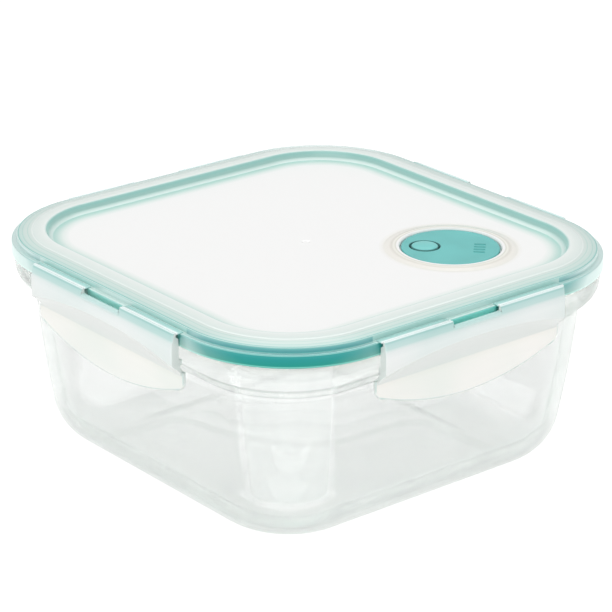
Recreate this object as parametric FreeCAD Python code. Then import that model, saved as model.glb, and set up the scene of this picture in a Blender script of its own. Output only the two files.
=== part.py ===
import FreeCAD, Part
import math
import os

# Square glass food container with a clip-down vented lid.
# Millimetres, +Z up, origin at the centre of the base's underside.

V = FreeCAD.Vector

# ---------------------------------------------------------------- sizes
LID_HALF = 95.0          # half the width of the lid over its skirt
LID_CORNER_R = 46.6      # plan radius of the lid's corner
RIM_Z = 86.8             # height of the outer top edge of the lid's rim

SKIRT_BOTTOM = -7.3      # heights below are measured from RIM_Z
SHELF_Z = -2.1           # step between the upper and the lower band of the skirt
UPPER_BAND_HALF = 92.9
RIM_RIDGE = (87.2, 0.85)
RIM_CREST = (81.7, 1.3)
PANEL_HALF = 79.2        # half-width where the rim's inner wall meets the panel
PANEL_TOP = -2.2
PANEL_UNDER = -4.0
SKIRT_INNER = 92.6
GROOVE_INNER = 84.3
GROOVE_ROOF = -0.9

GASKET_BOTTOM = -4.5

GLASS_TOP = -4.6
LIP_HALF, LIP_R = 91.2, 43.0
FLANGE_HALF, FLANGE_R = 92.3, 39.9
FLANGE_TOP, FLANGE_EDGE_BOTTOM = -7.7, -12.0
WALL_TOP_HALF, WALL_TOP_R = 84.9, 32.1
WALL_REF_DEPTH = 15.2
WALL_SLOPE, WALL_CURVE = 0.0200, 0.00186
WALL_BOTTOM_R = 36.6
HEEL_R = 21.5
GLASS_WALL = 4.4
GLASS_FLOOR = 6.5
INNER_HEEL_R = 16.0
FOOT_RECESS_HALF, FOOT_RECESS_R, FOOT_RECESS_DEPTH = 50.0, 16.0, 0.8

LATCH_HALF = 45.0        # half the length of a latch
AXIS_W, AXIS_Z = 95.75, -1.95    # hinge line of a latch
LATCH_FACE = 98.8        # outer face of the latch
ARC_MID_Z, ARC_END_Z = -9.5, -14.2
CREASE_W, CREASE_Z = 94.2, -19.0
TAB_THICK = 1.5
TAB_END_Z, TAB_MID_Z = -25.9, -33.0
SLOT_HALF = 11.7         # window between the two hinge webs
WEB_THICK = 0.6
BEAD_R = 0.45
LATCH_CLEAR = 0.9        # distance kept between the latch and its hinge line

VENT_DIR = math.radians(-45.0)   # the vent lies on the lid's diagonal
VENT_DIST = 56.2
VENT_R = 19.15
VENT_BOSS_R, VENT_BOSS_TOP_R, VENT_BOSS_Z = 26.0, 22.4, -1.6
VENT_SEAT_R, VENT_SEAT_Z = 20.2, -3.8
VENT_CUP_R, VENT_CUP_BOTTOM = 22.4, -4.9     # the panel drops below the seat
VENT_FLAP_BOTTOM, VENT_FLAP_TOP = -3.7, -1.9
NUB_OFFSET = 10.0        # anchor's distance from the flap's centre
NUB_R, NUB_HOLE_R, NUB_TOP = 5.6, 6.5, -1.1
STEM_R, BARB_R = 2.5, 3.8
PLUG_OFFSET, PLUG_R, PLUG_HOLE_R = 7.0, 2.8, 3.4
PLUG_BOTTOM = -5.2


# ---------------------------------------------------------------- helpers
def outline(w, r, z):
    """A square of half-width w with corners of radius r, at height z below the rim."""
    c = w - r
    h = RIM_Z + z
    k = math.sqrt(0.5)
    edges = []
    for q in range(4):
        a = math.radians(90.0 * q)

        def turn(x, y):
            return V(x * math.cos(a) - y * math.sin(a), x * math.sin(a) + y * math.cos(a), h)

        edges.append(Part.LineSegment(turn(w, -c), turn(w, c)).toShape())
        edges.append(
            Part.Arc(turn(w, c), turn(c + r * k, c + r * k), turn(c, w)).toShape()
        )
    return Part.Wire(edges)


def stack(sections):
    """The solid between a stack of rounded squares, given as (half-width, radius, z)."""
    return Part.makeLoft([outline(*s) for s in sections], True, True)


def ring(points, half, radius):
    """A profile in (half-width, z) carried round the lid: four straight runs and four turned corners."""
    c = half - radius
    pts = [V(w, 0, RIM_Z + z) for w, z in points]
    face = Part.Face(Part.makePolygon(pts + [pts[0]]))
    run = face.copy()
    run.translate(V(0, -c, 0))
    run = run.extrude(V(0, 2 * c, 0))
    bend = face.copy()
    bend.translate(V(0, c, 0))
    bend = bend.revolve(V(c, c, 0), V(0, 0, 1), 90)
    whole = []
    for q in range(4):
        for s in (run, bend):
            t = s.copy()
            t.rotate(V(0, 0, 0), V(0, 0, 1), 90 * q)
            whole.append(t)
    return whole[0].multiFuse(whole[1:]).removeSplitter()


def bar(points, x0, x1):
    """A profile in (half-width, z) drawn out along the front side, from x0 to x1."""
    pts = [V(x0, -w, RIM_Z + z) for w, z in points]
    return Part.Face(Part.makePolygon(pts + [pts[0]])).extrude(V(x1 - x0, 0, 0))


def save(shape, name):
    if len(shape.Solids) == 1:
        shape = shape.Solids[0]
    if not shape.isValid():
        shape.fix(1e-4, 1e-5, 1e-3)
    print(name, "solids", len(shape.Solids), "valid", shape.isValid(),
          "volume", round(shape.Volume, 1))
    shape.exportStep("parts/" + name + ".step")


def wall(depth):
    """Half-width and corner radius of the glass wall's outer face at a depth below the rim."""
    d = depth - WALL_REF_DEPTH
    w = WALL_TOP_HALF - WALL_SLOPE * d - 0.5 * WALL_CURVE * d * d
    r = WALL_TOP_R + (WALL_BOTTOM_R - WALL_TOP_R) * d / (RIM_Z - WALL_REF_DEPTH)
    return w, r


# ---------------------------------------------------------------- glass base
def heel(radius, floor_z, thickness, count):
    """Sections of the rounded heel, from the wall down to the flat."""
    start = math.radians(7.2)
    depth = -(floor_z + radius) + radius * math.sin(start)
    w, r = wall(depth)
    w, r = w - thickness, r - thickness * 0.9
    centre = w - radius * math.cos(start)
    out = []
    for i in range(count + 1):
        a = start + (math.pi / 2 - start) * i / count
        wi = centre + radius * math.cos(a)
        out.append((wi, r - (w - wi), floor_z + radius - radius * math.sin(a)))
    return out, depth


outer = [
    (LIP_HALF - 1.1, LIP_R - 1.1, GLASS_TOP),
    (LIP_HALF - 0.35, LIP_R - 0.35, GLASS_TOP - 0.35),
    (LIP_HALF, LIP_R, GLASS_TOP - 1.1),
    (LIP_HALF, LIP_R, FLANGE_TOP + 0.3),
    (FLANGE_HALF - 0.5, FLANGE_R + 0.3, FLANGE_TOP),
    (FLANGE_HALF, FLANGE_R, FLANGE_TOP - 0.6),
    (FLANGE_HALF, FLANGE_R, FLANGE_EDGE_BOTTOM),
]
w1, r1 = wall(23.6)
for z, t in ((-13.1, 0.012), (-14.2, 0.05), (-15.3, 0.10), (-16.3, 0.165), (-17.3, 0.25), (-18.2, 0.35),
             (-19.0, 0.46), (-19.8, 0.59), (-20.6, 0.72), (-21.4, 0.84), (-22.4, 0.94), (-23.6, 1.0)):
    outer.append((FLANGE_HALF + (w1 - FLANGE_HALF) * t, FLANGE_R + (r1 - FLANGE_R) * t, z))
low, start_depth = heel(HEEL_R, -RIM_Z, 0.0, 11)
for i in range(1, 6):
    depth = 23.6 + (start_depth - 23.6) * i / 6
    outer.append(wall(depth) + (-depth,))
outer += low

inner = [
    (WALL_TOP_HALF - GLASS_WALL + 1.9, WALL_TOP_R - 2.1, GLASS_TOP + 1.0),
    (WALL_TOP_HALF - GLASS_WALL + 1.3, WALL_TOP_R - 2.7, GLASS_TOP),
    (WALL_TOP_HALF - GLASS_WALL + 0.4, WALL_TOP_R - 3.6, GLASS_TOP - 0.5),
    (WALL_TOP_HALF - GLASS_WALL, WALL_TOP_R - 4.0, GLASS_TOP - 1.6),
    (WALL_TOP_HALF - GLASS_WALL, WALL_TOP_R - 4.0, -15.2),
]
low, start_depth = heel(INNER_HEEL_R, -RIM_Z + GLASS_FLOOR, GLASS_WALL, 10)
for i in range(1, 7):
    depth = 15.2 + (start_depth - 15.2) * i / 7
    w, r = wall(depth)
    inner.append((w - GLASS_WALL, r - GLASS_WALL * 0.9, -depth))
inner += low

glass = stack(outer).cut(stack(inner))
foot = stack([
    (FOOT_RECESS_HALF + 1.0, FOOT_RECESS_R + 1.0, -RIM_Z - 0.2),
    (FOOT_RECESS_HALF, FOOT_RECESS_R, -RIM_Z + FOOT_RECESS_DEPTH),
])
glass = glass.cut(foot)


# ---------------------------------------------------------------- lid
rim = ring(
    [
        (LID_HALF - 0.4, SKIRT_BOTTOM),
        (LID_HALF, SKIRT_BOTTOM + 0.4),
        (LID_HALF, SHELF_Z - 0.5),
        (LID_HALF - 0.5, SHELF_Z),
        (UPPER_BAND_HALF + 0.4, SHELF_Z),
        (UPPER_BAND_HALF, SHELF_Z + 0.4),
        (UPPER_BAND_HALF, -0.35),
        (UPPER_BAND_HALF - 0.4, 0.02),
        (RIM_RIDGE[0] + 0.5, RIM_RIDGE[1] - 0.25),
        (RIM_RIDGE[0], RIM_RIDGE[1]),
        (RIM_RIDGE[0] - 0.5, RIM_RIDGE[1] + 0.05),
        (RIM_CREST[0] + 0.4, RIM_CREST[1]),
        (RIM_CREST[0], RIM_CREST[1] - 0.1),
        (RIM_CREST[0] - 0.3, RIM_CREST[1] - 0.5),
        (PANEL_HALF + 1.7, -0.9),
        (PANEL_HALF + 0.9, -1.85),
        (PANEL_HALF, PANEL_TOP),
        (PANEL_HALF, PANEL_UNDER),
        (GROOVE_INNER, PANEL_UNDER),
        (GROOVE_INNER, GROOVE_ROOF),
        (SKIRT_INNER, GROOVE_ROOF),
        (SKIRT_INNER, SKIRT_BOTTOM + 0.3),
        (SKIRT_INNER + 0.3, SKIRT_BOTTOM),
    ],
    LID_HALF,
    LID_CORNER_R,
)
panel_r = LID_CORNER_R - (LID_HALF - PANEL_HALF)
panel = stack([(PANEL_HALF, panel_r, PANEL_UNDER), (PANEL_HALF, panel_r, PANEL_TOP)])
lid = rim.fuse(panel)

vx, vy = VENT_DIST * math.cos(VENT_DIR), VENT_DIST * math.sin(VENT_DIR)
out_dir = V(math.cos(VENT_DIR), math.sin(VENT_DIR), 0)


def at_vent(offset, z):
    """A point on the vent's diagonal, offset outward from the flap's centre."""
    return V(vx + out_dir.x * offset, vy + out_dir.y * offset, RIM_Z + z)


def drum(offset, r, z0, z1):
    return Part.makeCylinder(r, z1 - z0, at_vent(offset, z0))


boss = Part.makeCone(VENT_BOSS_R, VENT_BOSS_TOP_R, VENT_BOSS_Z - PANEL_TOP, at_vent(0, PANEL_TOP))
boss_block = boss.fuse(drum(0, VENT_BOSS_R, PANEL_TOP - 0.3, PANEL_TOP))
# the boss stops where the rim's inner wall begins
boss_block = boss_block.common(
    stack([(PANEL_HALF + 0.5, panel_r + 0.5, PANEL_TOP - 0.4), (PANEL_HALF + 0.5, panel_r + 0.5, 0.0)])
)
lid = lid.fuse(boss_block)
lid = lid.fuse(drum(0, VENT_CUP_R, VENT_CUP_BOTTOM, PANEL_UNDER + 0.2))
lid = lid.cut(drum(0, VENT_SEAT_R, VENT_SEAT_Z, 2.0))
lid = lid.cut(drum(-NUB_OFFSET, STEM_R, -8.0, 0.0))
lid = lid.cut(drum(PLUG_OFFSET, PLUG_HOLE_R, -8.0, 0.0))
gate = Part.makeCone(1.5, 2.0, 0.35, V(0, 0, RIM_Z + PANEL_TOP - 0.35))
lid = lid.cut(gate).removeSplitter()

# ---------------------------------------------------------------- gasket
gasket = ring(
    [
        (SKIRT_INNER, GROOVE_ROOF),
        (SKIRT_INNER, -3.6),
        (SKIRT_INNER - 0.9, GASKET_BOTTOM),
        (89.6, GASKET_BOTTOM),
        (89.0, -3.8),
        (87.4, -3.8),
        (86.8, GASKET_BOTTOM),
        (GROOVE_INNER + 0.9, GASKET_BOTTOM),
        (GROOVE_INNER, -3.6),
        (GROOVE_INNER, GROOVE_ROOF),
    ],
    LID_HALF,
    LID_CORNER_R,
)

# ---------------------------------------------------------------- vent
flap = drum(0, VENT_R, VENT_FLAP_BOTTOM, VENT_FLAP_TOP)
rim_edges = [e for e in flap.Edges if len(e.Vertexes) == 1 and abs(e.Vertexes[0].Z - (RIM_Z + VENT_FLAP_TOP)) < 1e-6]
flap = flap.makeFillet(0.6, rim_edges)
flap = flap.cut(drum(-NUB_OFFSET, NUB_HOLE_R, -5.0, 3.0))
dish = Part.makeCone(NUB_HOLE_R, NUB_HOLE_R + 1.2, 0.9, at_vent(-NUB_OFFSET, VENT_FLAP_TOP - 0.9))
flap = flap.cut(dish)

plug = Part.makeCone(PLUG_R - 0.3, PLUG_R, VENT_FLAP_BOTTOM - PLUG_BOTTOM, at_vent(PLUG_OFFSET, PLUG_BOTTOM))

anchor = drum(-NUB_OFFSET, NUB_R, VENT_SEAT_Z, NUB_TOP - 0.9)
dome_h = 0.9
dome_r = (NUB_R ** 2 + dome_h ** 2) / (2 * dome_h)
ball = Part.makeSphere(dome_r, at_vent(-NUB_OFFSET, NUB_TOP - dome_r))
cap = ball.common(drum(-NUB_OFFSET, NUB_R, NUB_TOP - 0.9, NUB_TOP + 0.1))
anchor = anchor.fuse(cap)
anchor = anchor.fuse(drum(-NUB_OFFSET, STEM_R, VENT_CUP_BOTTOM, VENT_SEAT_Z))
anchor = anchor.fuse(
    Part.makeCone(STEM_R - 0.6, BARB_R, 0.5, at_vent(-NUB_OFFSET, VENT_CUP_BOTTOM - 0.5))
).removeSplitter()

# ---------------------------------------------------------------- latch (front one, drawn along X)
face = [
    (AXIS_W + LATCH_CLEAR, -1.7),
    (AXIS_W + LATCH_CLEAR + 0.65, -1.65),
    (AXIS_W + LATCH_CLEAR + 1.1, -2.2),
    (LATCH_FACE - 0.3, -4.8),
    (LATCH_FACE, -5.7),
    (LATCH_FACE, ARC_END_Z),
    (CREASE_W, CREASE_Z),
    (CREASE_W - TAB_THICK, CREASE_Z),
    (CREASE_W - TAB_THICK, -8.1),
    (95.4, -7.8),
    (95.4, -4.0),
    (AXIS_W + LATCH_CLEAR, -3.3),
]
latch = bar(face, -LATCH_HALF, LATCH_HALF)
hollow = bar(
    [
        (AXIS_W + LATCH_CLEAR, -3.0),
        (LATCH_FACE - 1.5, -5.0),
        (LATCH_FACE - 1.5, -9.0),
        (CREASE_W - TAB_THICK, -17.4),
        (90.0, -17.4),
        (90.0, -3.0),
    ],
    -LATCH_HALF + 1.6,
    LATCH_HALF - 1.6,
)
latch = latch.cut(hollow)
# finger scoop under the face: its upper edge bows down towards the ends
slices = []
for i in range(13):
    x = -LATCH_HALF - 0.5 + (2 * LATCH_HALF + 1.0) * i / 12
    z = ARC_MID_Z + (ARC_END_Z - ARC_MID_Z) * min(1.0, (x / LATCH_HALF) ** 2)
    p = [V(x, -w, RIM_Z + h) for w, h in (
        (LATCH_FACE + 2.0, z + 1.2), (LATCH_FACE, z), (96.0, -0.45 * -z - 0.55 * 18.2), (CREASE_W, CREASE_Z), (LATCH_FACE + 2.0, CREASE_Z - 1.0))]
    slices.append(Part.makePolygon(p + [p[0]]))
scoop = Part.makeLoft(slices, True, True)
latch = latch.cut(scoop)
# stop rib that stands under the glass flange's edge
latch = latch.fuse(bar([(95.6, -12.6), (92.7, -13.3), (92.7, -15.1), (94.2, -15.8)], -LATCH_HALF + 1.0, LATCH_HALF - 1.0))
# pull tab
zt = RIM_Z
e = [
    Part.LineSegment(V(-LATCH_HALF, 0, zt - 17.4), V(LATCH_HALF, 0, zt - 17.4)).toShape(),
    Part.LineSegment(V(LATCH_HALF, 0, zt - 17.4), V(LATCH_HALF, 0, zt - 20.4)).toShape(),
    Part.Arc(V(LATCH_HALF, 0, zt - 20.4), V(LATCH_HALF - 1.6, 0, zt - 23.9), V(LATCH_HALF - 5.5, 0, zt + TAB_END_Z)).toShape(),
    Part.Arc(V(LATCH_HALF - 5.5, 0, zt + TAB_END_Z), V(0, 0, zt + TAB_MID_Z), V(-LATCH_HALF + 5.5, 0, zt + TAB_END_Z)).toShape(),
    Part.Arc(V(-LATCH_HALF + 5.5, 0, zt + TAB_END_Z), V(-LATCH_HALF + 1.6, 0, zt - 23.9), V(-LATCH_HALF, 0, zt - 20.4)).toShape(),
    Part.LineSegment(V(-LATCH_HALF, 0, zt - 20.4), V(-LATCH_HALF, 0, zt - 17.4)).toShape(),
]
tab = Part.Face(Part.Wire(e))
tab.translate(V(0, -CREASE_W, 0))
tab = tab.extrude(V(0, TAB_THICK, 0))
latch = latch.fuse(tab)
# window between the hinge webs
latch = latch.cut(bar([(90.0, 0.0), (103.0, 0.0), (103.0, -3.6), (90.0, -3.6)], -SLOT_HALF, SLOT_HALF))
latch = latch.removeSplitter()

# two hinge webs per side, resting on the skirt's shelf, with a bead on the hinge line
web = None
for x0, x1 in ((-LATCH_HALF + 0.4, -SLOT_HALF), (SLOT_HALF, LATCH_HALF - 0.4)):
    strip = bar(
        [(93.4, SHELF_Z), (LID_HALF - 0.5, SHELF_Z), (AXIS_W, SHELF_Z), (AXIS_W, SHELF_Z + WEB_THICK), (93.4, SHELF_Z + WEB_THICK)],
        x0, x1,
    )
    bead = Part.makeCylinder(BEAD_R, x1 - x0, V(x0, -AXIS_W, RIM_Z + AXIS_Z), V(1, 0, 0))
    one = strip.fuse(bead).removeSplitter()
    web = one if web is None else Part.makeCompound([web, one])

os.makedirs("parts", exist_ok=True)
save(glass, "glass_base")
save(lid, "lid_panel")
save(gasket, "gasket_ring")
save(flap, "vent_flap")
save(plug, "vent_plug")
save(anchor, "vent_anchor")
for name, turn in (("front", 0), ("right", 90), ("back", 180), ("left", 270)):
    for shape, kind in ((latch, "latch_"), (web, "hinge_web_")):
        s = shape.copy()
        s.rotate(V(0, 0, 0), V(0, 0, 1), turn)
        save(s, kind + name)
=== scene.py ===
import math

import bpy
import bmesh
import numpy as np
from mathutils import Matrix, Vector


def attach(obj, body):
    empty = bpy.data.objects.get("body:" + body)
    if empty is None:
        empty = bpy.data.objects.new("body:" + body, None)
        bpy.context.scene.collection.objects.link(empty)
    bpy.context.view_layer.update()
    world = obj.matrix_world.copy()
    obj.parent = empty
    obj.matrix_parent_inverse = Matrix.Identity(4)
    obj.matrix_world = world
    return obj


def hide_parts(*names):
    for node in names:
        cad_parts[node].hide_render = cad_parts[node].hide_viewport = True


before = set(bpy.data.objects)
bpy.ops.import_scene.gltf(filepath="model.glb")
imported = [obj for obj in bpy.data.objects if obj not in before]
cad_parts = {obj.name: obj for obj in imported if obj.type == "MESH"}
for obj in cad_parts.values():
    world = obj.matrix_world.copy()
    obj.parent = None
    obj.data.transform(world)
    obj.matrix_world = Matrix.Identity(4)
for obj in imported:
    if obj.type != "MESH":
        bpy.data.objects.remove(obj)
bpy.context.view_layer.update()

MM = 0.001
RIM = 86.8                     # height of the rim's outer top edge, mm
C0 = 48.4                      # centre of the lid's corner arcs


# ------------------------------------------------------------------ mesh helpers
def outline(w, r, straight=12, corner=26):
    c = w - r
    pts = []
    for q in range(4):
        a = math.radians(90 * q)
        ca, sa = math.cos(a), math.sin(a)
        loc = [(w, -c + 2 * c * i / straight) for i in range(straight)]
        for i in range(corner):
            t = math.pi / 2 * i / corner
            loc.append((c + r * math.cos(t), c + r * math.sin(t)))
        pts += [(x * ca - y * sa, x * sa + y * ca) for x, y in loc]
    return pts


def build(name, verts, faces, smooth=32.0):
    me = bpy.data.meshes.new(name)
    me.from_pydata([(x * MM, y * MM, z * MM) for x, y, z in verts], [], faces)
    me.validate()
    me.update()
    bm = bmesh.new()
    bm.from_mesh(me)
    bmesh.ops.remove_doubles(bm, verts=bm.verts, dist=1e-7)
    bmesh.ops.recalc_face_normals(bm, faces=bm.faces)
    bm.to_mesh(me)
    bm.free()
    me.polygons.foreach_set("use_smooth", [True] * len(me.polygons))
    me.set_sharp_from_angle(angle=math.radians(smooth))
    ob = bpy.data.objects.new(name, me)
    bpy.context.scene.collection.objects.link(ob)
    return ob


def loft(name, sections, closed=False, smooth=32.0, straight=12, corner=26):
    """sections: (half-width, corner radius, z below the rim)."""
    verts, faces = [], []
    rings = []
    for w, r, z in sections:
        base = len(verts)
        pts = outline(w, r, straight, corner)
        verts += [(x, y, RIM + z) for x, y in pts]
        rings.append(base)
    n = len(outline(50, 10, straight, corner))
    pairs = list(zip(rings, rings[1:]))
    if closed:
        pairs.append((rings[-1], rings[0]))
    for a, b in pairs:
        for i in range(n):
            j = (i + 1) % n
            faces.append((a + i, a + j, b + j, b + i))
    if not closed:
        faces.append(tuple(rings[0] + i for i in range(n)))
        faces.append(tuple(rings[-1] + i for i in range(n)))
    return build(name, verts, faces, smooth)


def rounded(points, seg=4):
    """Fillets a polyline of (w, z, radius)."""
    out = []
    n = len(points)
    for i, (x, y, r) in enumerate(points):
        if r <= 0 or i == 0 or i == n - 1:
            out.append((x, y))
            continue
        p = np.array([x, y])
        a = np.array(points[i - 1][:2]) - p
        b = np.array(points[i + 1][:2]) - p
        la, lb = np.linalg.norm(a), np.linalg.norm(b)
        a, b = a / la, b / lb
        ang = math.acos(max(-1, min(1, float(a @ b))))
        if ang > math.pi - 0.02:
            out.append((x, y))
            continue
        d = min(r / math.tan(ang / 2), la * 0.49, lb * 0.49)
        rr = d * math.tan(ang / 2)
        bis = (a + b) / np.linalg.norm(a + b)
        centre = p + bis * (rr / math.sin(ang / 2))
        s, e = p + a * d - centre, p + b * d - centre
        t0 = math.atan2(s[1], s[0])
        t1 = math.atan2(e[1], e[0])
        dt = (t1 - t0 + math.pi) % (2 * math.pi) - math.pi
        for k in range(seg + 1):
            t = t0 + dt * k / seg
            out.append((centre[0] + rr * math.cos(t), centre[1] + rr * math.sin(t)))
    return out


def turned(name, profile, centre, n=96, smooth=32.0):
    """Revolves (r, z) about a vertical line through centre; a profile point on the axis closes that end with a fan, and
    an end off the axis is left open.
    """
    verts, faces, idx = [], [], []
    for r, z in profile:
        if r < 1e-6:
            idx.append([len(verts)])
            verts.append((centre[0], centre[1], RIM + z))
        else:
            idx.append(list(range(len(verts), len(verts) + n)))
            for i in range(n):
                t = 2 * math.pi * i / n
                verts.append((centre[0] + r * math.cos(t), centre[1] + r * math.sin(t), RIM + z))
    for a, b in zip(idx, idx[1:]):
        if len(a) == 1 and len(b) == 1:
            continue
        for i in range(n):
            j = (i + 1) % n
            if len(a) == 1:
                faces.append((a[0], b[j], b[i]))
            elif len(b) == 1:
                faces.append((a[i], a[j], b[0]))
            else:
                faces.append((a[i], a[j], b[j], b[i]))
    return build(name, verts, faces, smooth)


def boolean(ob, tool, op):
    m = ob.modifiers.new("b", "BOOLEAN")
    m.operation = op
    m.solver = "EXACT"
    m.object = tool
    bpy.context.view_layer.objects.active = ob
    dg = bpy.context.evaluated_depsgraph_get()
    me = bpy.data.meshes.new_from_object(ob.evaluated_get(dg))
    me.validate()
    ob.modifiers.clear()
    ob.data = me
    bpy.data.objects.remove(tool, do_unlink=True)
    me.polygons.foreach_set("use_smooth", [True] * len(me.polygons))
    me.set_sharp_from_angle(angle=math.radians(32))


def bake(ob, smooth=35.0):
    dg = bpy.context.evaluated_depsgraph_get()
    me = bpy.data.meshes.new_from_object(ob.evaluated_get(dg))
    me.validate()
    ob.modifiers.clear()
    ob.data = me
    me.polygons.foreach_set("use_smooth", [True] * len(me.polygons))
    me.set_sharp_from_angle(angle=math.radians(smooth))


# ------------------------------------------------------------------ materials
def new_mat(name):
    m = bpy.data.materials.new(name)
    m.use_nodes = True
    nt = m.node_tree
    bsdf = nt.nodes["Principled BSDF"]
    return m, nt, bsdf


def node(nt, kind, **kw):
    n = nt.nodes.new(kind)
    for k, v in kw.items():
        setattr(n, k, v)
    return n


def math_node(nt, op, a, b=None, clamp=False):
    n = node(nt, "ShaderNodeMath", operation=op, use_clamp=clamp)
    for i, v in enumerate((a, b)):
        if v is None:
            continue
        if isinstance(v, (int, float)):
            n.inputs[i].default_value = v
        else:
            nt.links.new(v, n.inputs[i])
    return n.outputs[0]


def ramp(nt, fac, stops, interp="LINEAR"):
    n = node(nt, "ShaderNodeValToRGB")
    cr = n.color_ramp
    cr.interpolation = interp
    while len(cr.elements) > 1:
        cr.elements.remove(cr.elements[0])
    cr.elements[0].position = stops[0][0]
    cr.elements[0].color = stops[0][1]
    for p, c in stops[1:]:
        e = cr.elements.new(p)
        e.color = c
    nt.links.new(fac, n.inputs[0])
    return n.outputs[0]


def srgb(r, g, b, a=1.0):
    def f(c):
        c /= 255.0
        return c / 12.92 if c <= 0.04045 else ((c + 0.055) / 1.055) ** 2.4
    return (f(r), f(g), f(b), a)


def coords(nt):
    """Object x, y, z in mm (objects sit at the origin)."""
    tc = node(nt, "ShaderNodeTexCoord")
    sep = node(nt, "ShaderNodeSeparateXYZ")
    nt.links.new(tc.outputs["Object"], sep.inputs[0])
    return tc, [math_node(nt, "MULTIPLY", sep.outputs[i], 1000.0) for i in range(3)]


def plan_distance(nt, x, y, c=C0):
    """Half-width of the rounded square through a point, concentric with the lid's outline."""
    ax = math_node(nt, "MAXIMUM", math_node(nt, "SUBTRACT", math_node(nt, "ABSOLUTE", x), c), 0.0)
    ay = math_node(nt, "MAXIMUM", math_node(nt, "SUBTRACT", math_node(nt, "ABSOLUTE", y), c), 0.0)
    s = math_node(nt, "ADD", math_node(nt, "MULTIPLY", ax, ax), math_node(nt, "MULTIPLY", ay, ay))
    return math_node(nt, "ADD", math_node(nt, "SQRT", s), c)


def grain(nt, bsdf, scale, strength, distance, detail=3.0):
    tc = node(nt, "ShaderNodeTexCoord")
    nz = node(nt, "ShaderNodeTexNoise")
    nz.inputs["Scale"].default_value = scale
    nz.inputs["Detail"].default_value = detail
    nt.links.new(tc.outputs["Object"], nz.inputs["Vector"])
    bp = node(nt, "ShaderNodeBump")
    bp.inputs["Strength"].default_value = strength
    bp.inputs["Distance"].default_value = distance
    nt.links.new(nz.outputs["Fac"], bp.inputs["Height"])
    nt.links.new(bp.outputs["Normal"], bsdf.inputs["Normal"])
    return nz.outputs["Fac"]


def glass_material():
    """Clear pressed glass: part of the light passes straight through a thin wall, the rest is bent by it."""
    m, nt, b = new_mat("pressed_glass")
    out = nt.nodes["Material Output"]
    tc, (x, y, z) = coords(nt)
    b.inputs["Base Color"].default_value = (1, 1, 1, 1)
    b.inputs["Transmission Weight"].default_value = 1.0
    b.inputs["IOR"].default_value = 1.45
    fac = grain(nt, b, 26.0, 0.10, 0.0004, 2.0)
    nt.links.new(math_node(nt, "MULTIPLY", fac, 0.03), b.inputs["Roughness"])
    # painted shade: the flange is darkened from just below the skirt up to the rim, where the skirt shades it; towards
    # the heel the glass is slightly grey-green
    h = math_node(nt, "DIVIDE", z, RIM, clamp=True)
    nz = node(nt, "ShaderNodeTexNoise")
    nz.inputs["Scale"].default_value = 90.0
    nz.inputs["Detail"].default_value = 2.0
    nt.links.new(tc.outputs["Object"], nz.inputs["Vector"])
    h = math_node(nt, "ADD", h, math_node(nt, "MULTIPLY", math_node(nt, "SUBTRACT", nz.outputs["Fac"], 0.5), 0.03))
    under_skirt_shade_and_heel_tint = ramp(nt, h, [
        (0.00, (0.975, 0.985, 0.98, 1)),
        (0.035, (0.98, 0.99, 0.985, 1)),
        (0.12, (0.992, 0.996, 0.994, 1)),
        (0.30, (0.997, 0.999, 0.998, 1)),
        (0.80, (0.997, 0.998, 0.997, 1)),
        (0.88, (0.97, 0.972, 0.968, 1)),
        (0.90, (0.84, 0.84, 0.825, 1)),
        (0.92, (0.62, 0.62, 0.60, 1)),
    ])
    # a wall seen edge-on is a long way through glass
    lw = node(nt, "ShaderNodeLayerWeight")
    lw.inputs["Blend"].default_value = 0.5
    graze = ramp(nt, lw.outputs["Facing"], [(0.0, (1, 1, 1, 1)), (0.7, (0.993, 0.996, 0.994, 1)), (0.88, (0.95, 0.96, 0.952, 1)), (0.95, (0.82, 0.84, 0.825, 1)), (1.0, (0.55, 0.58, 0.56, 1))])
    mul = node(nt, "ShaderNodeMix", data_type="RGBA", blend_type="MULTIPLY")
    mul.inputs["Factor"].default_value = 1.0
    nt.links.new(under_skirt_shade_and_heel_tint, mul.inputs["A"])
    nt.links.new(graze, mul.inputs["B"])
    tr = node(nt, "ShaderNodeBsdfTransparent")
    nt.links.new(mul.outputs["Result"], tr.inputs[0])
    lp = node(nt, "ShaderNodeLightPath")
    mix = node(nt, "ShaderNodeMixShader")
    nt.links.new(math_node(nt, "MAXIMUM", lp.outputs["Is Shadow Ray"], 0.54), mix.inputs[0])
    nt.links.new(b.outputs[0], mix.inputs[1])
    nt.links.new(tr.outputs[0], mix.inputs[2])
    nt.links.new(mix.outputs[0], out.inputs["Surface"])
    va = node(nt, "ShaderNodeVolumeAbsorption")
    va.inputs["Color"].default_value = (0.62, 0.76, 0.68, 1)
    va.inputs["Density"].default_value = 6.0
    nt.links.new(va.outputs[0], out.inputs["Volume"])
    return m


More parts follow.
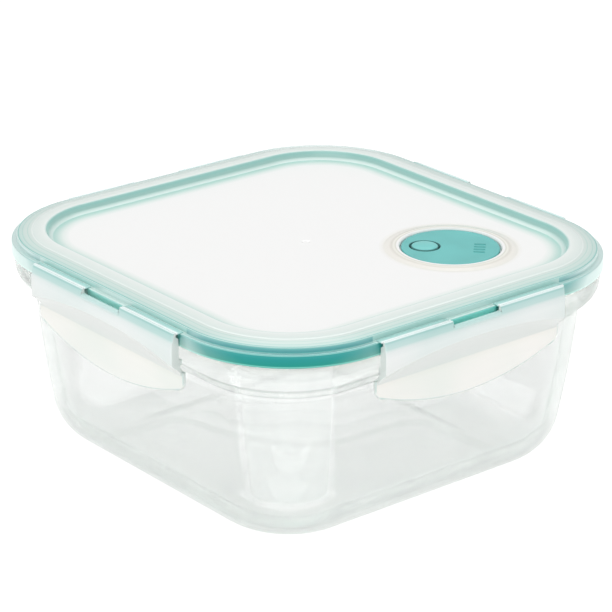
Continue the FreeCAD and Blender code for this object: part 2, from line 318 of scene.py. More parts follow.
def lid_material():
    m, nt, b = new_mat("lid_plastic")
    tc, (x, y, z) = coords(nt)
    d = plan_distance(nt, x, y)
    # across the rim, from the panel out to the skirt, greener towards the outside; the thin lighter and darker lines at
    # the profile's edges and steps are painted highlights and painted shade
    t = math_node(nt, "DIVIDE", math_node(nt, "SUBTRACT", d, 72.0), 24.0, clamp=True)
    top = ramp(nt, t, [
        (0.0167, srgb(250, 250, 249)),
        (0.1250, srgb(232, 241, 237)),
        (0.2250, srgb(196, 225, 218)),
        (0.2792, srgb(178, 218, 210)),
        (0.3000, srgb(216, 237, 232)),
        (0.3250, srgb(210, 232, 227)),
        (0.3583, srgb(180, 218, 211)),
        (0.3875, srgb(160, 214, 207)),
        (0.4021, srgb(200, 228, 223)),
        (0.4250, srgb(236, 243, 240)),
        (0.5000, srgb(229, 238, 234)),
        (0.6125, srgb(221, 233, 229)),
        (0.6250, srgb(236, 244, 241)),
        (0.6417, srgb(213, 227, 222)),
        (0.6875, srgb(207, 225, 219)),
        (0.6958, srgb(180, 215, 208)),
        (0.7083, srgb(208, 226, 220)),
        (0.7667, srgb(201, 223, 217)),
        (0.7792, srgb(174, 213, 206)),
        (0.7958, srgb(199, 223, 217)),
        (0.8333, srgb(188, 219, 213)),
        (0.8479, srgb(132, 196, 189)),
        (0.8583, srgb(150, 205, 199)),
        (1.0000, srgb(186, 218, 213)),
    ])
    # painted highlight and painted shade: lighter and darker rings round the vent's moulded boss, at its rounded edges
    vx, vy = 56.2 * math.sqrt(0.5), -56.2 * math.sqrt(0.5)
    ex, ey = math_node(nt, "SUBTRACT", x, vx), math_node(nt, "SUBTRACT", y, vy)
    rr = math_node(nt, "SQRT", math_node(nt, "ADD", math_node(nt, "MULTIPLY", ex, ex), math_node(nt, "MULTIPLY", ey, ey)))
    rt = math_node(nt, "DIVIDE", math_node(nt, "SUBTRACT", rr, 20.0), 8.0, clamp=True)
    vent_ring_painted_shading = ramp(nt, rt, [(0.0, (1, 1, 1, 1)), (0.11, (1, 1, 1, 1)), (0.17, srgb(226, 226, 216)), (0.25, srgb(250, 249, 241)), (0.36, srgb(229, 226, 218)), (0.50, srgb(246, 243, 237)), (0.72, srgb(243, 241, 235)), (0.80, srgb(250, 249, 246)), (1.0, (1, 1, 1, 1))])
    mr = node(nt, "ShaderNodeMix", data_type="RGBA", blend_type="MULTIPLY")
    mr.inputs["Factor"].default_value = 1.0
    nt.links.new(top, mr.inputs["A"])
    nt.links.new(vent_ring_painted_shading, mr.inputs["B"])
    nt.links.new(mr.outputs["Result"], b.inputs["Base Color"])
    b.inputs["Roughness"].default_value = 0.25
    b.inputs["IOR"].default_value = 1.49
    b.inputs["Coat Weight"].default_value = 0.5
    b.inputs["Coat Roughness"].default_value = 0.12
    b.inputs["Coat IOR"].default_value = 1.5
    b.inputs["Subsurface Weight"].default_value = 0.12
    b.inputs["Subsurface Radius"].default_value = (0.004, 0.004, 0.004)
    b.inputs["Subsurface Scale"].default_value = 0.6
    grain(nt, b, 900.0, 0.05, 0.00004)
    return m


def skirt_material():
    """The rim's outer band: clear plastic with the teal seal behind it, deeper lower down, with painted highlight lines
    at the lower bevel and at the step and painted shade along the bottom edge.
    """
    m, nt, b = new_mat("skirt_plastic")
    tc, (x, y, z) = coords(nt)
    h = math_node(nt, "DIVIDE", math_node(nt, "SUBTRACT", z, RIM - 8.0), 8.0, clamp=True)
    # height ramp: the seal's teal, deeper lower down, with painted highlight lines at the lower bevel and the step and
    # painted shade at the bottom edge
    side = ramp(nt, h, [
        (0.00, srgb(8, 96, 84)),
        (0.12, srgb(14, 120, 106)),
        (0.15, srgb(110, 208, 192)),
        (0.18, srgb(120, 214, 200)),
        (0.205, srgb(18, 150, 136)),
        (0.28, srgb(6, 150, 140)),
        (0.50, srgb(22, 154, 150)),
        (0.67, srgb(52, 164, 160)),
        (0.69, srgb(142, 208, 202)),
        (0.715, srgb(136, 204, 198)),
        (0.73, srgb(104, 184, 181)),
        (0.765, srgb(104, 184, 182)),
        (0.785, srgb(88, 168, 171)),
        (0.90, srgb(108, 184, 184)),
        (0.955, srgb(132, 198, 195)),
        (0.985, srgb(184, 220, 215)),
        (1.00, srgb(190, 222, 217)),
    ])
    # painted light: the band is brightened in the latch windows, where the latches shade it
    near = math_node(nt, "MINIMUM", math_node(nt, "ABSOLUTE", x), math_node(nt, "ABSOLUTE", y))
    window_painted_light = math_node(nt, "MULTIPLY", math_node(nt, "LESS_THAN", near, 11.9), math_node(nt, "LESS_THAN", z, RIM - 1.9))
    mw = node(nt, "ShaderNodeMix", data_type="RGBA")
    nt.links.new(window_painted_light, mw.inputs["Factor"])
    nt.links.new(side, mw.inputs["A"])
    mw.inputs["B"].default_value = srgb(112, 226, 214)
    # above the latches the hinge strip backs the band and hides the seal
    strip = math_node(nt, "MULTIPLY", math_node(nt, "LESS_THAN", near, 46.0), math_node(nt, "GREATER_THAN", z, RIM - 2.35))
    ms = node(nt, "ShaderNodeMix", data_type="RGBA")
    nt.links.new(strip, ms.inputs["Factor"])
    nt.links.new(mw.outputs["Result"], ms.inputs["A"])
    ms.inputs["B"].default_value = srgb(178, 219, 213)
    nt.links.new(ms.outputs["Result"], b.inputs["Base Color"])
    # smooth outer skin: its reflection of the pale studio grows at a shallow angle
    lw = node(nt, "ShaderNodeLayerWeight")
    lw.inputs["Blend"].default_value = 0.5
    gf = ramp(nt, lw.outputs["Facing"], [(0.0, (0, 0, 0, 1)), (0.15, (0.02, 0.02, 0.02, 1)), (0.30, (0.13, 0.13, 0.13, 1)), (0.42, (0.42, 0.42, 0.42, 1)), (0.55, (0.74, 0.74, 0.74, 1)), (1.0, (0.9, 0.9, 0.9, 1))])
    gl = node(nt, "ShaderNodeBsdfGlossy")
    gl.inputs["Color"].default_value = (0.90, 1.0, 0.975, 1)
    gl.inputs["Roughness"].default_value = 0.34
    gx = node(nt, "ShaderNodeMixShader")
    nt.links.new(gf, gx.inputs[0])
    nt.links.new(b.outputs[0], gx.inputs[1])
    nt.links.new(gl.outputs[0], gx.inputs[2])
    nt.links.new(gx.outputs[0], nt.nodes["Material Output"].inputs["Surface"])
    b.inputs["Roughness"].default_value = 0.30
    b.inputs["IOR"].default_value = 1.49
    b.inputs["Specular IOR Level"].default_value = 0.18
    b.inputs["Sheen Weight"].default_value = 0.4
    b.inputs["Sheen Roughness"].default_value = 0.42
    b.inputs["Sheen Tint"].default_value = (0.93, 1.0, 0.985, 1)
    grain(nt, b, 900.0, 0.05, 0.00004)
    return m


def latch_material():
    """Milky plastic; teal from the skirt shines through the thin bevel near the hinge. Painted shade greys the
    underside and the end walls, and a painted highlight whitens the top edge by the hinge.
    """
    m, nt, b = new_mat("latch_plastic")
    tc, (x, y, z) = coords(nt)
    h = math_node(nt, "DIVIDE", math_node(nt, "SUBTRACT", z, RIM - 36.0), 36.0, clamp=True)
    # by height: greyer from the crease up over the underside (painted shade), aqua on the thin bevel, a teal line in
    # the hinge groove, and near-white along the top edge (painted highlight)
    col = ramp(nt, h, [
        (0.00, srgb(250, 249, 245)),
        (0.40, srgb(250, 248, 243)),
        (0.46, srgb(247, 245, 239)),
        (0.48, srgb(232, 235, 231)),
        (0.60, srgb(238, 241, 239)),
        (0.78, srgb(243, 246, 245)),
        (0.845, srgb(238, 244, 243)),
        (0.862, srgb(226, 240, 238)),
        (0.875, srgb(208, 233, 230)),
        (0.925, srgb(198, 229, 226)),
        (0.942, srgb(170, 215, 211)),
        (0.950, srgb(232, 247, 246)),
        (1.00, srgb(244, 251, 250)),
    ])
    # milky plastic is a little uneven, and the tab's rolled edge is darker
    nz = node(nt, "ShaderNodeTexNoise")
    nz.inputs["Scale"].default_value = 28.0
    nz.inputs["Detail"].default_value = 1.0
    nt.links.new(tc.outputs["Object"], nz.inputs["Vector"])
    cloud = ramp(nt, nz.outputs["Fac"], [(0.35, srgb(244, 250, 249)), (0.65, (1, 1, 1, 1))])
    mc = node(nt, "ShaderNodeMix", data_type="RGBA", blend_type="MULTIPLY")
    mc.inputs["Factor"].default_value = 1.0
    nt.links.new(col, mc.inputs["A"])
    nt.links.new(cloud, mc.inputs["B"])
    along = math_node(nt, "MINIMUM", math_node(nt, "ABSOLUTE", x), math_node(nt, "ABSOLUTE", y))
    arc = math_node(nt, "DIVIDE", math_node(nt, "MULTIPLY", along, along), 221.0)
    e1 = math_node(nt, "SUBTRACT", math_node(nt, "SUBTRACT", z, RIM - 33.0), arc)
    e2 = math_node(nt, "SUBTRACT", 45.3, along)
    low = math_node(nt, "LESS_THAN", z, RIM - 17.6)
    e = math_node(nt, "ADD", math_node(nt, "MINIMUM", e1, e2), math_node(nt, "MULTIPLY", math_node(nt, "SUBTRACT", 1.0, low), 10.0))
    line = math_node(nt, "SUBTRACT", 1.0, math_node(nt, "DIVIDE", math_node(nt, "SUBTRACT", e, 0.25), 0.35, clamp=True))
    me_ = node(nt, "ShaderNodeMix", data_type="RGBA")
    nt.links.new(line, me_.inputs["Factor"])
    nt.links.new(mc.outputs["Result"], me_.inputs["A"])
    me_.inputs["B"].default_value = srgb(206, 222, 218)
    col = me_.outputs["Result"]
    # painted shade: faces turned downward, and the end walls across the latch's length, are mixed towards grey
    geo = node(nt, "ShaderNodeNewGeometry")
    sep = node(nt, "ShaderNodeSeparateXYZ")
    nt.links.new(geo.outputs["Normal"], sep.inputs[0])
    down_facing_painted_shade = math_node(nt, "MULTIPLY", math_node(nt, "SUBTRACT", math_node(nt, "MULTIPLY", sep.outputs[2], -1.0), 0.12), 3.4, clamp=True)
    alongx = math_node(nt, "GREATER_THAN", math_node(nt, "ABSOLUTE", y), math_node(nt, "ABSOLUTE", x))
    nx = math_node(nt, "MULTIPLY", math_node(nt, "ABSOLUTE", sep.outputs[0]), alongx)
    ny = math_node(nt, "MULTIPLY", math_node(nt, "ABSOLUTE", sep.outputs[1]), math_node(nt, "SUBTRACT", 1.0, alongx))
    end = math_node(nt, "MULTIPLY", math_node(nt, "SUBTRACT", math_node(nt, "ADD", nx, ny), 0.6), 2.5, clamp=True)
    m1 = node(nt, "ShaderNodeMix", data_type="RGBA")
    nt.links.new(down_facing_painted_shade, m1.inputs["Factor"])
    nt.links.new(col, m1.inputs["A"])
    m1.inputs["B"].default_value = srgb(224, 228, 225)
    m2 = node(nt, "ShaderNodeMix", data_type="RGBA")
    nt.links.new(end, m2.inputs["Factor"])
    nt.links.new(m1.outputs["Result"], m2.inputs["A"])
    m2.inputs["B"].default_value = srgb(220, 227, 224)
    nt.links.new(m2.outputs["Result"], b.inputs["Base Color"])
    b.inputs["Roughness"].default_value = 0.22
    b.inputs["IOR"].default_value = 1.49
    b.inputs["Subsurface Weight"].default_value = 0.10
    b.inputs["Subsurface Radius"].default_value = (0.004, 0.004, 0.004)
    b.inputs["Subsurface Scale"].default_value = 0.4
    grain(nt, b, 700.0, 0.05, 0.00004)
    return m


def rubber_material(name, colour, rough=0.42, strength=0.12, well_painted_shade=None):
    m, nt, b = new_mat(name)
    tc = node(nt, "ShaderNodeTexCoord")
    nz = node(nt, "ShaderNodeTexNoise")
    nz.inputs["Scale"].default_value = 60.0
    nt.links.new(tc.outputs["Object"], nz.inputs["Vector"])
    c0 = srgb(*colour)
    c1 = tuple(min(1, v * 1.10) for v in c0[:3]) + (1,)
    col = ramp(nt, nz.outputs["Fac"], [(0.35, c0), (0.65, c1)])
    if well_painted_shade:
        # painted shade: darker inside the round well that the button sits in, on the well's walls and the button's foot
        (wx, wy), wr, wz = well_painted_shade
        tc2, (x, y, z) = coords(nt)
        ex, ey = math_node(nt, "SUBTRACT", x, wx), math_node(nt, "SUBTRACT", y, wy)
        rr = math_node(nt, "SQRT", math_node(nt, "ADD", math_node(nt, "MULTIPLY", ex, ex), math_node(nt, "MULTIPLY", ey, ey)))
        inside_well_shade = math_node(nt, "MULTIPLY", math_node(nt, "LESS_THAN", rr, wr), math_node(nt, "LESS_THAN", z, RIM + wz + 0.18))
        mw = node(nt, "ShaderNodeMix", data_type="RGBA")
        nt.links.new(inside_well_shade, mw.inputs["Factor"])
        nt.links.new(col, mw.inputs["A"])
        mw.inputs["B"].default_value = tuple(v * 0.42 for v in c0[:3]) + (1,)
        col = mw.outputs["Result"]
    nt.links.new(col, b.inputs["Base Color"])
    b.inputs["Roughness"].default_value = rough
    b.inputs["IOR"].default_value = 1.42
    grain(nt, b, 1200.0, strength, 0.00003)
    return m


# ------------------------------------------------------------------ glass base
def wall(depth):
    d = depth - 15.2
    return 84.9 - 0.0200 * d - 0.5 * 0.00186 * d * d, 32.1 + (36.6 - 32.1) * d / (RIM - 15.2)


def heel(radius, floor_z, thick, count):
    start = math.radians(7.2)
    depth = -(floor_z + radius) + radius * math.sin(start)
    w, r = wall(depth)
    w, r = w - thick, r - thick * 0.9
    centre = w - radius * math.cos(start)
    out = []
    for i in range(count + 1):
        a = start + (math.pi / 2 - start) * i / count
        wi = centre + radius * math.cos(a)
        out.append((wi, r - (w - wi), floor_z + radius - radius * math.sin(a)))
    return out, depth


sec = []
low, sd = heel(21.5, -RIM, 0.0, 24)
# foot recess, flat ring, heel
foot = [(44.0, 13.0, -RIM + 0.8), (46.0, 14.2, -RIM + 0.74), (48.0, 15.2, -RIM + 0.55), (50.0, 16.2, -RIM + 0.25), (51.5, 16.8, -RIM + 0.06), (53.0, 17.2, -RIM)]
sec += [(20, 9, -RIM + 0.8), (34, 11, -RIM + 0.8)] + foot
sec += list(reversed(low))
for i in range(15, 0, -1):
    depth = 23.6 + (sd - 23.6) * i / 16
    sec.append(wall(depth) + (-depth,))
w1, r1 = wall(23.6)
flange = [(-23.6, 1.0), (-22.4, 0.94), (-21.4, 0.84), (-20.6, 0.72), (-19.8, 0.59), (-19.0, 0.46), (-18.2, 0.35),
          (-17.3, 0.25), (-16.3, 0.165), (-15.3, 0.10), (-14.2, 0.05), (-13.1, 0.012), (-12.0, 0.0)]
zs = np.array([f[0] for f in flange])
ts = np.array([f[1] for f in flange])
for z in np.linspace(-23.6, -12.0, 28):
    t = float(np.interp(z, zs, ts))
    sec.append((92.3 + (w1 - 92.3) * t, 39.9 + (r1 - 39.9) * t, float(z)))
# smooth the flange's lower side
a = np.array(sec)
k0 = len(a) - 28
for _ in range(3):
    b_ = a.copy()
    b_[k0 + 1:-1] = 0.25 * a[k0:-2] + 0.5 * a[k0 + 1:-1] + 0.25 * a[k0 + 2:]
    a = b_
sec = [tuple(v) for v in a]
top = rounded([(92.3, -12.0, 0), (92.3, -7.7, 1.0), (91.2, -7.7, 0.5), (91.2, -4.6, 1.1), (81.4, -4.6, 1.6), (80.5, -7.0, 3.0), (80.5, -15.2, 0)], 5)
for w, z in top[1:]:
    if z > -7.3 or w > 91.2:
        r = 39.9 + (43.0 - 39.9) * min(1, max(0, (92.3 - w) / 1.1)) if w >= 91.2 else 43.0 - (91.2 - w)
        r = max(r, 28.0)
    else:
        r = 39.9 + (43.0 - 39.9) * min(1, max(0, (92.3 - w) / 1.1)) if w >= 91.2 else 28.0
    if w < 88:
        f = (w - 80.5) / (88 - 80.5)
        r = 28.1 + (39.8 - 28.1) * f
    sec.append((w, r, z))
low, sd = heel(16.0, -RIM + 6.5, 4.4, 22)
for i in range(1, 16):
    depth = 15.2 + (sd - 15.2) * i / 16
    w, r = wall(depth)
    sec.append((w - 4.4, r - 4.4 * 0.9, -depth))
sec += low
sec += [(45, 12, -RIM + 6.5), (25, 9, -RIM + 6.5)]
glass = loft("glass_bowl", sec, smooth=40.0, straight=14, corner=30)
glass.data.materials.append(glass_material())
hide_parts("glass_base")
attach(glass, "base")

# ------------------------------------------------------------------ lid
prof = rounded([
    (60.0, -2.2, 0),
    (79.0, -2.2, 1.4),
    (80.7, -1.2, 1.0),
    (81.55, 1.28, 0.5),
    (86.5, 0.98, 1.2),
    (87.1, 0.80, 0.4),
    (92.9, -0.05, 0.5),
    (92.9, -2.1, 0.3),
    (95.0, -2.1, 0.5),
    (95.0, -7.3, 0.4),
    (92.6, -7.3, 0.3),
    (92.6, -0.9, 0.2),
    (84.3, -0.9, 0.2),
    (84.3, -4.0, 0.2),
    (60.0, -4.0, 0),
], 5)
lid = loft("lid_shell", [(w, w - C0, z) for w, z in prof], smooth=38.0, straight=14, corner=30)
vc = (56.2 * math.cos(math.radians(-45)), 56.2 * math.sin(math.radians(-45)))
od = (math.cos(math.radians(-45)), math.sin(math.radians(-45)))


def off(d):
    return (vc[0] + od[0] * d, vc[1] + od[1] * d)


boss_prof = rounded([(0.0, -3.2, 0), (26.4, -3.2, 0), (26.4, -2.3, 0.0), (25.2, -2.1, 2.0), (22.4, -1.6, 1.4), (0.0, -1.6, 0)], 5)
boss = turned("boss", boss_prof, vc, 128)
boolean(lid, boss, "UNION")
cup = turned("cup", rounded([(0.0, -4.9, 0), (22.4, -4.9, 0.3), (22.4, -3.8, 0), (0.0, -3.8, 0)], 3), vc, 128)
boolean(lid, cup, "UNION")
seat = turned("seat", rounded([(0.0, -3.8, 0), (19.75, -3.8, 0.3), (19.75, -2.1, 0.0), (20.2, -1.5, 0), (0.0, 0.5, 0)], 4), vc, 128)
boolean(lid, seat, "DIFFERENCE")
hole = turned("hole", [(0.0, -8.0), (3.4, -8.0), (3.4, 0.0), (0.0, 0.0)], off(7.0), 48)
boolean(lid, hole, "DIFFERENCE")
hole = turned("hole2", [(0.0, -8.0), (2.5, -8.0), (2.5, 0.0), (0.0, 0.0)], off(-10.0), 48)
boolean(lid, hole, "DIFFERENCE")
gate = turned("gate", rounded([(0.0, -2.45, 0), (1.2, -2.45, 0.2), (2.1, -2.1, 0), (0.0, -2.0, 0)], 3), (0, 0), 32)
boolean(lid, gate, "DIFFERENCE")
for p in lid.data.polygons:
    if abs(p.normal.z) > 0.9995 and p.area > 1e-6:
        p.use_smooth = False
lid.data.materials.clear()
lid.data.materials.append(lid_material())
lid.data.materials.append(skirt_material())
for p in lid.data.polygons:
    px, py, pz = (v / MM for v in p.center)
    dd = C0 + math.hypot(max(0.0, abs(px) - C0), max(0.0, abs(py) - C0))
    p.material_index = 1 if dd > 92.62 and pz < RIM + 0.4 else 0
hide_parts("lid_panel")
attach(lid, "lid")

# ------------------------------------------------------------------ gasket
gp = rounded([
    (88.4, -0.9, 0), (92.55, -0.9, 0.2), (92.55, -3.6, 0.4), (91.7, -4.5, 0.3), (89.6, -4.5, 0.3), (89.0, -3.8, 0.3),
    (87.4, -3.8, 0.3), (86.8, -4.5, 0.3), (85.2, -4.5, 0.3), (84.35, -3.6, 0.4), (84.35, -0.9, 0.2), (86.0, -0.9, 0),
], 3)
gasket = loft("gasket_band", [(w, w - C0, z) for w, z in gp], closed=True, smooth=40)
gasket.data.materials.append(rubber_material("teal_silicone", (20, 158, 148), 0.38))
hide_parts("gasket_ring")
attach(gasket, "lid")

# ------------------------------------------------------------------ vent
flap_prof = rounded([(0.0, -3.7, 0), (18.85, -3.7, 0.4), (19.15, -3.2, 0.3), (19.15, -1.9, 0.5), (18.0, -1.9, 0.3), (17.6, -2.02, 0.3), (0.0, -2.02, 0)], 5)
flap = turned("vent_disc", flap_prof, vc, 160)
cut = turned("cut", rounded([(0.0, -5.0, 0), (5.8, -5.0, 0), (5.8, -2.9, 0.25), (6.0, -2.3, 0.3), (6.4, -1.8, 0), (0.0, -1.8, 0)], 5), off(-10.0), 96)
boolean(flap, cut, "DIFFERENCE")
# four short grip bars near the lifting edge
for k in range(4):
    s = -4.2 + 2.8 * k
    verts, faces = [], []
    ux, uy = od
    px, py = -od[1], od[0]
    prof2 = rounded([(-0.55, -2.1, 0), (-0.45, -1.74, 0.2), (0.45, -1.74, 0.2), (0.55, -2.1, 0)], 3)
    cxk, cyk = off(11.2)
    nP = len(prof2)
    for e in (-2.3, -2.1, 2.1, 2.3):
        kz = 0.0 if abs(e) > 2.2 else 1.0
        for a_, z_ in prof2:
            zz = -2.1 + (z_ + 2.1) * kz
            verts.append((cxk + ux * e + px * (s + a_), cyk + uy * e + py * (s + a_), RIM + zz))
    for q in range(3):
        for i in range(nP - 1):
            faces.append((q * nP + i, q * nP + i + 1, (q + 1) * nP + i + 1, (q + 1) * nP + i))
    faces.append(tuple(range(nP)))
    faces.append(tuple(3 * nP + i for i in range(nP)))
    for q in range(3):
        faces.append((q * nP, (q + 1) * nP, (q + 1) * nP + nP - 1, q * nP + nP - 1))
    barm = build("grip_bar_%d" % k, verts, faces, 40)
    barm.data.materials.append(rubber_material("vent_silicone_bar", (86, 170, 167), 0.42))
    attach(barm, "vent")
flap.data.materials.append(rubber_material("vent_silicone", (102, 187, 184), 0.40, 0.2, well_painted_shade=(off(-10.0), 7.0, -2.2)))
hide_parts("vent_flap")
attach(flap, "vent")

plug = turned("vent_stub", rounded([(0.0, -5.2, 0), (2.5, -5.2, 0.4), (2.8, -3.7, 0), (0.0, -3.7, 0)], 4), off(7.0), 48)
plug.data.materials.append(rubber_material("stub_silicone", (84, 172, 168), 0.42))
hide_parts("vent_plug")
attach(plug, "vent")

nub_pts = [(0.0, -5.4), (1.9, -5.4), (3.8, -4.9), (2.5, -4.9), (2.5, -3.8), (5.4, -3.8), (5.4, -2.4)]
for i in range(1, 13):
    t = i / 12
    nub_pts.append((5.4 * math.cos(t * math.pi / 2) ** 0.75 if t < 1 else 0.0, -2.4 + 1.29 * math.sin(t * math.pi / 2)))
nub = turned("vent_button", nub_pts, off(-10.0), 72, 40)
nub.data.materials.append(rubber_material("button_silicone", (116, 200, 197), 0.24, well_painted_shade=(off(-10.0), 7.0, -2.05)))
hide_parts("vent_anchor")
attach(nub, "lid")


# ------------------------------------------------------------------ latches
def tab_bottom(x):
    ax = abs(x)
    if ax <= 39.5:
        R = (39.5 ** 2 + 7.1 ** 2) / (2 * 7.1)
        return -33.0 + R - math.sqrt(R * R - ax * ax)
    # rounded end, from (39.5, -25.9) to (45, -20.4)
    t = min(1.0, (ax - 39.5) / 5.5)
    th = math.radians(20.4)
    # superellipse-like corner with the arc's slope at the start
    return -25.9 + 5.5 * (0.37 * t + 0.63 * (1 - math.sqrt(max(0.0, 1 - t ** 2.2))))


FACE, BOX, TAB = 98.75, 44.3, 45.3


def latch_mesh(name):
    xs = set()
    for i in range(61):
        xs.add(round(-BOX + 2 * BOX * i / 60, 3))
    for e in (41.2, 42.2, 43.6, 43.9, 44.1):
        xs.add(e)
        xs.add(-e)
    SL, SW = 11.7, 12.9                                # window half-width, and its closed side walls
    plan = []
    for x in xs:
        ax = abs(x)
        if min(abs(ax - SL), abs(ax - SW), abs(ax - BOX + 1.5)) < 0.05:
            continue
        plan.append((x, 0, ax < SL or SW < ax < BOX - 1.5, ax < SL))
    for sg in (-1, 1):
        plan += [(sg * (BOX - 1.5), -sg * -1, False, False), (sg * (BOX - 1.5), -sg, True, False)]
        plan += [(sg * SW, -sg * -1, True, False), (sg * SW, -sg, False, False)]
        plan += [(sg * SL, -sg * -1, False, False), (sg * SL, -sg, True, True)]
    plan = [(x, h_, s_) for x, o_, h_, s_ in sorted(plan, key=lambda q: (q[0], q[1]))]
    verts, faces, rows = [], [], []
    for x, hollow, slot in plan:
        ax = abs(x)
        za = -9.6 + (-14.2 + 9.6) * min(1.0, (ax / BOX) ** 2.2)
        end = max(0.0, (ax - (BOX - 1.2)) / 1.2)
        rr = 0.45 * (1 - math.sqrt(max(0.0, 1 - end * end)))      # eased end edges
        if slot:
            o = [(96.65, -3.6), (97.4, -3.6), (98.1, -3.65), (98.4, -4.0), (FACE - 0.45, -4.9), (FACE - 0.05, -5.8)]
        else:
            o = [(96.65, -1.75), (97.05, -1.62), (97.5, -1.75), (97.85, -2.3), (FACE - 0.45, -4.9), (FACE - 0.05, -5.8)]
        for t in (0.33, 0.66, 0.95):
            o.append((FACE, -5.8 + (za + 5.8) * t))
        o.append((FACE - 0.05, za - 0.08))
        o.append((FACE - 0.2, za - 0.3))
        # underside, nearly flat, back to the crease
        for i in range(1, 8):
            t = i / 8
            w = FACE - 0.2 + (94.25 - FACE + 0.2) * (t + 0.10 * math.sin(math.pi * t))
            o.append((w, za - 0.3 + (-18.9 - za + 0.3) * t))
        o.append((94.25, -18.95))
        o.append((94.2, -19.2))
        if hollow:
            i_ = [(92.75, -19.2), (92.75, -17.4), (94.0, -15.9), (92.75, -15.1), (92.75, -13.3), (95.2, -12.8), (97.4, -9.0), (97.6, -5.1), (96.65, -3.75 if slot else -3.3)]
        else:
            i_ = [(92.75, -19.2), (92.75, -17.6), (94.3, -16.6), (94.9, -15.1), (95.0, -13.3), (95.2, -12.0), (95.3, -9.0), (95.4, -4.2), (96.65, -3.75 if slot else -3.3)]
        row = [(w - (rr if k < len(o) - 3 else 0), z) for k, (w, z) in enumerate(o)] + i_
        rows.append((x, row))
    n = len(rows[0][1])
    for x, row in rows:
        for w, z in row:
            verts.append((x, -w, RIM + z))
    for q in range(len(rows) - 1):
        for i in range(n):
            j = (i + 1) % n
            faces.append((q * n + i, q * n + j, (q + 1) * n + j, (q + 1) * n + i))
    faces.append(tuple(range(n)))
    faces.append(tuple((len(rows) - 1) * n + i for i in range(n)))
    box = build(name, verts, faces, 30)
    # pull tab: a plate with a rounded outline
    pts = [(-TAB, -17.6), (-TAB, -20.6)]
    c, rad = (-TAB + 5.6, -20.6), 5.6
    for i in range(1, 9):
        t = math.radians(180 + 68 * i / 9)
        pts.append((c[0] + rad * math.cos(t), c[1] + rad * 0.96 * math.sin(t)))
    R = (39.5 ** 2 + 7.1 ** 2) / (2 * 7.1)
    half = []
    for i in range(25):
        x = -39.8 + 39.8 * i / 24
        half.append((x, -33.0 + R - math.sqrt(R * R - x * x)))
    pts += half
    pts += [(-x, z) for x, z in reversed(pts[:-1])]
    m = len(pts)
    layers = ((92.75, 0.35), (92.95, 0.0), (93.95, 0.0), (94.2, 0.35))
    verts, faces = [], []
    cx_, cz_ = 0.0, -22.0
    for w, inset in layers:
        for x, z in pts:
            dx, dz = x - cx_, z - cz_
            L = math.hypot(dx, dz)
            k = inset / L
            verts.append((x - dx * k, -w, RIM + z - dz * k))
    for q in range(3):
        for i in range(m):
            j = (i + 1) % m
            faces.append((q * m + i, q * m + j, (q + 1) * m + j, (q + 1) * m + i))
    faces.append(tuple(range(m)))
    faces.append(tuple(3 * m + i for i in range(m)))
    tab = build(name + "_tab", verts, faces, 30)
    boolean(box, tab, "UNION")
    bv = box.modifiers.new("edge", "BEVEL")
    bv.width = 0.00022
    bv.segments = 2
    bv.limit_method = "ANGLE"
    bv.angle_limit = math.radians(55)
    bake(box, 30)
    return box


def web_mesh(name):
    verts, faces = [], []
    prof3 = rounded([(93.5, -2.09, 0), (93.5, -1.8, 0.15), (95.0, -1.72, 0.4), (95.6, -1.5, 0.3), (96.5, -1.5, 0.35), (96.72, -1.9, 0.2), (96.4, -2.3, 0.2), (95.0, -2.3, 0.1), (95.0, -2.09, 0)], 3)
    nP = len(prof3)
    for x0, x1 in ((-44.9, -11.75), (11.75, 44.9)):
        b0 = len(verts)
        for x in (x0, x0 + 0.3, x1 - 0.3, x1):
            s = 0.55 if x in (x0, x1) else 1.0
            for w, z in prof3:
                verts.append((x, -w, RIM - 1.9 + (z + 1.9) * s))
        for q in range(3):
            for i in range(nP):
                j = (i + 1) % nP
                faces.append((b0 + q * nP + i, b0 + q * nP + j, b0 + (q + 1) * nP + j, b0 + (q + 1) * nP + i))
        faces.append(tuple(b0 + i for i in range(nP)))
        faces.append(tuple(b0 + 3 * nP + i for i in range(nP)))
    return build(name, verts, faces, 40)


def web_material():
    m, nt, b = new_mat("web_plastic")
    tc, (x, y, z) = coords(nt)
    w = math_node(nt, "MAXIMUM", math_node(nt, "ABSOLUTE", x), math_node(nt, "ABSOLUTE", y))
    t = math_node(nt, "DIVIDE", math_node(nt, "SUBTRACT", w, 92.0), 6.0, clamp=True)
    # painted highlight: the strip's outer bead is near-white; inboard it is pale aqua
    col = ramp(nt, t, [(0.0, srgb(150, 208, 204)), (0.40, srgb(176, 222, 217)), (0.60, srgb(186, 226, 222)), (0.68, srgb(200, 232, 229)), (0.73, srgb(240, 250, 249)), (1.0, srgb(250, 253, 253))])
    nt.links.new(col, b.inputs["Base Color"])
    b.inputs["Roughness"].default_value = 0.15
    grain(nt, b, 700.0, 0.05, 0.00004)
    return m


lm = latch_material()
wm = web_material()
for k, side in enumerate(("front", "right", "back", "left")):
    la = latch_mesh("clip_" + side)
    wb = web_mesh("web_" + side)
    R = Matrix.Rotation(math.radians(90 * k), 4, "Z")
    for ob, mat in ((la, lm), (wb, wm)):
        ob.data.transform(R)
        ob.data.materials.clear()
        ob.data.materials.append(mat)
    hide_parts("latch_" + side)
    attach(la, "latch_" + side)
    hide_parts("hinge_web_" + side)
    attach(wb, "lid")

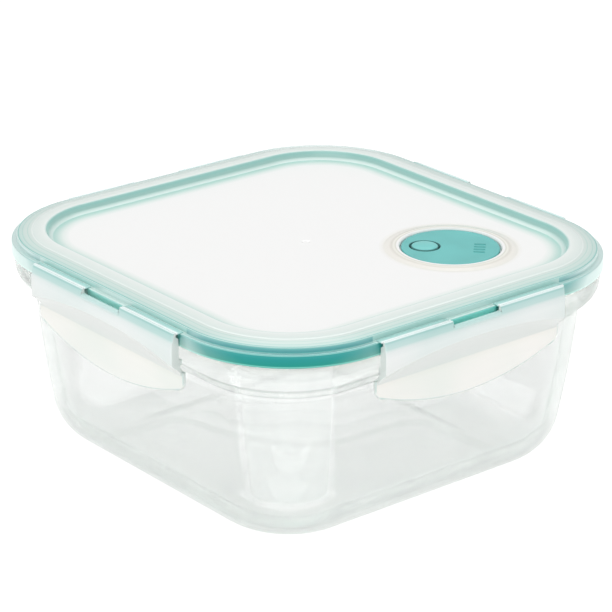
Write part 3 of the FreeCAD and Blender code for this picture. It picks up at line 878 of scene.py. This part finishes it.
# ------------------------------------------------------------------ stage
floor_me = bpy.data.meshes.new("floor")
floor_me.from_pydata([(-6, -6, -0.0005), (6, -6, -0.0005), (6, 6, -0.0005), (-6, 6, -0.0005)], [], [(0, 1, 2, 3)])
floor = bpy.data.objects.new("floor", floor_me)
bpy.context.scene.collection.objects.link(floor)
fm, nt, b = new_mat("floor_paper")
nz = node(nt, "ShaderNodeTexNoise")
nz.inputs["Scale"].default_value = 40.0
col = ramp(nt, nz.outputs["Fac"], [(0.0, (0.11, 0.11, 0.11, 1)), (1.0, (0.13, 0.13, 0.13, 1))])
nt.links.new(col, b.inputs["Base Color"])
b.inputs["Roughness"].default_value = 0.9
b.inputs["Specular IOR Level"].default_value = 0.1
b.inputs["Emission Color"].default_value = (1, 1, 1, 1)
b.inputs["Emission Strength"].default_value = 0.96
floor_me.materials.append(fm)

world = bpy.data.worlds.new("studio")
bpy.context.scene.world = world
world.use_nodes = True
wn = world.node_tree
bg = wn.nodes["Background"]
tcw = node(wn, "ShaderNodeTexCoord")
sepw = node(wn, "ShaderNodeSeparateXYZ")
wn.links.new(tcw.outputs["Generated"], sepw.inputs[0])
colw = ramp(wn, sepw.outputs["Z"], [(0.0, (0.75, 0.75, 0.75, 1)), (0.12, (0.82, 0.82, 0.82, 1)), (0.5, (0.92, 0.92, 0.92, 1)), (1.0, (1, 1, 1, 1))])
wn.links.new(colw, bg.inputs["Color"])
bg.inputs["Strength"].default_value = 0.76


def area(name, loc, target, sx, sy, power):
    l = bpy.data.lights.new(name, "AREA")
    l.shape = "RECTANGLE"
    l.size, l.size_y = sx, sy
    l.energy = power
    o = bpy.data.objects.new(name, l)
    d = Vector(target) - Vector(loc)
    o.matrix_world = Matrix.Translation(loc) @ d.to_track_quat("-Z", "Y").to_matrix().to_4x4()
    bpy.context.scene.collection.objects.link(o)
    return o


area("top_soft", (0.3, 0.5, 1.6), (0, 0, 0.05), 1.6, 1.6, 10.0)
area("front_soft", (-1.2, -0.9, 0.7), (0, 0, 0.05), 1.4, 1.0, 4.0)

# ------------------------------------------------------------------ camera
az, el, roll = math.radians(-39.669), math.radians(20.2825), math.radians(0.421)
back = Vector((math.sin(az) * math.cos(el), -math.cos(az) * math.cos(el), math.sin(el)))
right = Vector((math.cos(az), math.sin(az), 0.0))
up = back.cross(right)
right, up = right * math.cos(roll) + up * math.sin(roll), up * math.cos(roll) - right * math.sin(roll)
cd = bpy.data.cameras.new("camera")
cam = bpy.data.objects.new("camera", cd)
bpy.context.scene.collection.objects.link(cam)
loc = Vector((0, 0, RIM * MM)) + back * (11.1286 * 0.095)
cam.matrix_world = Matrix((
    (right.x, up.x, back.x, loc.x),
    (right.y, up.y, back.y, loc.y),
    (right.z, up.z, back.z, loc.z),
    (0, 0, 0, 1)))
cd.sensor_width = 36.0
cd.lens = 2723.97 / 612 * 36
cd.shift_x = 0.0002
cd.shift_y = -0.1139
cd.clip_start = 0.01
bpy.context.scene.camera = cam
bpy.context.scene.view_settings.view_transform = "Standard"
bpy.context.scene.view_settings.look = "None"
